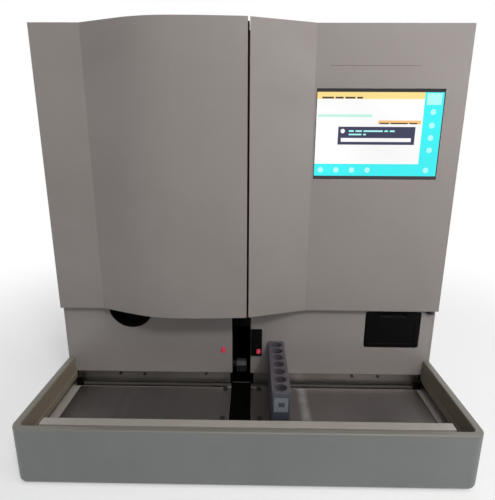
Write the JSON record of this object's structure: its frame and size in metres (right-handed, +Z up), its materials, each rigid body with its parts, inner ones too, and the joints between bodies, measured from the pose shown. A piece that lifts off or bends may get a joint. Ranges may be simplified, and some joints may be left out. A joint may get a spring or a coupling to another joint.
{
  "type": "urine analyzer",
  "caption": "Bench urine analyzer with a lift-up hood, a side-hinged door with a touch display, a low sample tray with rack pushers and a pull-out waste drawer.",
  "frame": {"origin": "on the bench under the middle of the object's bounding box", "axes": "+Z up, the front with the doors and the tray faces -Y, +X to the right of a person facing the front"},
  "size_m": [0.6, 0.612, 0.591],
  "materials": {
    "cream_cover": "fine-textured satin cream",
    "cream_tray": "satin grey-cream",
    "painted_wall": "satin cream powder coat",
    "steel": "brushed",
    "zinc_frame": "zinc plated",
    "dark_steel": "blackened",
    "black_plastic": "matte",
    "black_rubber": "matte",
    "rack_plastic": "translucent grey",
    "red_lens": "lit red lens",
    "screen_glass": "lit panel behind dark glass",
    "white_plastic": "satin",
    "clear_plastic": "smoky clear",
    "strip_plastic": "glossy white",
    "aluminium": "natural anodised",
    "board_green": "solder mask",
    "grey_plastic": "satin"
  },
  "bodies": {
    "case": {"rubber_feet": "black_rubber", "base_pan": "zinc_frame", "tray_surround": "cream_tray", "tray_floor": "cream_cover", "left_tray_plate": "steel", "right_tray_plate": "steel", "rear_rails": "steel", "tray_screws": "dark_steel", "guide_rods": "steel", "lane_bed": "black_plastic", "rack_tunnel": "black_plastic", "puller_belt": "black_rubber", "puller_motor": "dark_steel", "barcode_reader": "black_plastic", "slot_lamps": "red_lens", "lower_front_wall": "painted_wall", "finger_cup": "black_plastic", "left_side_panel": "painted_wall", "right_side_panel": "painted_wall", "roof_panel": "painted_wall", "rear_panel": "painted_wall", "left_frame": "zinc_frame", "right_frame": "zinc_frame", "cross_beam": "zinc_frame", "centre_post": "black_plastic", "instrument_deck": "zinc_frame", "hinge_brackets": "dark_steel", "hinge_pins": "steel", "bin_runners": "zinc_frame", "waste_chute": "white_plastic", "strip_hopper": "white_plastic", "conveyor_rails": "aluminium", "test_strips": "strip_plastic", "probe_rail": "aluminium", "wash_station": "white_plastic", "reader_head": "black_plastic", "syringe_pump": "aluminium", "power_supply": "zinc_frame", "main_board": "board_green", "fan_housing": "black_plastic", "power_inlet": "black_plastic"},
    "hood": {"left_hood": "cream_cover"},
    "door": {"right_door": "cream_cover", "display_module": "dark_steel", "touch_glass": "screen_glass"},
    "drawer": {"waste_bin": "black_plastic"},
    "pusher_left": {"left_rack_pusher": "black_plastic"},
    "pusher_right": {"right_rack_pusher": "black_plastic"},
    "rack": {"sample_rack": "rack_plastic"},
    "puller": {"rack_puller": "grey_plastic"},
    "drive_pulley": {"puller_drive_pulley": "aluminium"},
    "idler_pulley": {"puller_idler_pulley": "aluminium"},
    "lid": {"hopper_lid": "clear_plastic"},
    "drum": {"strip_drum": "grey_plastic"},
    "comb": {"conveyor_comb": "white_plastic"},
    "carriage": {"probe_carriage": "aluminium"},
    "arm": {"probe_arm": "white_plastic"},
    "plunger": {"syringe_plunger": "steel"},
    "rotor": {"fan_rotor": "black_plastic"},
    "rocker": {"power_switch": "black_plastic"}
  },
  "joints": [
    {"name": "hood_lift", "type": "hinge", "parent": "case", "child": "hood", "pos_m": [-0.155, -0.04, 0.585], "axis": [-1, 0, 0], "range_deg": [0, 75]},
    {"name": "door_swing", "type": "hinge", "parent": "case", "child": "door", "pos_m": [0.292, -0.127, 0.385], "axis": [0, 0, 1], "range_deg": [0, 100]},
    {"name": "drawer_slide", "type": "slide", "parent": "case", "child": "drawer", "axis": [0, -1, 0], "range_m": [0, 0.15]},
    {"name": "left_pusher_slide", "type": "slide", "parent": "case", "child": "pusher_left", "axis": [1, 0, 0], "range_m": [0, 0.23]},
    {"name": "right_pusher_slide", "type": "slide", "parent": "case", "child": "pusher_right", "axis": [-1, 0, 0], "range_m": [0, 0.213]},
    {"name": "rack_lift", "type": "slide", "parent": "case", "child": "rack", "axis": [0, 0, 1], "range_m": [0, 0.055]},
    {"name": "puller_slide", "type": "slide", "parent": "case", "child": "puller", "axis": [0, 1, 0], "range_m": [0, 0.13]},
    {"name": "drive_turn", "type": "hinge", "parent": "case", "child": "drive_pulley", "pos_m": [-0.042, 0.09, 0.05], "axis": [-1, 0, 0], "continuous": true},
    {"name": "idler_turn", "type": "hinge", "parent": "case", "child": "idler_pulley", "pos_m": [-0.042, -0.09, 0.05], "axis": [-1, 0, 0], "continuous": true},
    {"name": "lid_hinge", "type": "hinge", "parent": "case", "child": "lid", "pos_m": [-0.185, 0.04, 0.364], "axis": [-1, 0, 0], "range_deg": [0, 100]},
    {"name": "drum_turn", "type": "hinge", "parent": "case", "child": "drum", "pos_m": [-0.185, -0.02, 0.25], "axis": [0, 1, 0], "continuous": true},
    {"name": "comb_slide", "type": "slide", "parent": "case", "child": "comb", "axis": [1, 0, 0], "range_m": [0, 0.018]},
    {"name": "carriage_slide", "type": "slide", "parent": "case", "child": "carriage", "axis": [1, 0, 0], "range_m": [-0.02, 0.036]},
    {"name": "arm_slide", "type": "slide", "parent": "carriage", "child": "arm", "axis": [0, 0, -1], "range_m": [0, 0.135]},
    {"name": "plunger_slide", "type": "slide", "parent": "case", "child": "plunger", "axis": [0, 0, -1], "range_m": [0, 0.045]},
    {"name": "fan_turn", "type": "hinge", "parent": "case", "child": "rotor", "pos_m": [-0.16, 0.289, 0.42], "axis": [0, 1, 0], "continuous": true},
    {"name": "switch_rock", "type": "hinge", "parent": "case", "child": "rocker", "pos_m": [-0.257, 0.2995, 0.085], "axis": [1, 0, 0], "range_deg": [0, 12]}
  ],
  "couplings": [
    {"joint": "drive_turn", "follows": "puller_slide", "rad_per_m": 125},
    {"joint": "idler_turn", "follows": "puller_slide", "rad_per_m": 125}
  ]
}
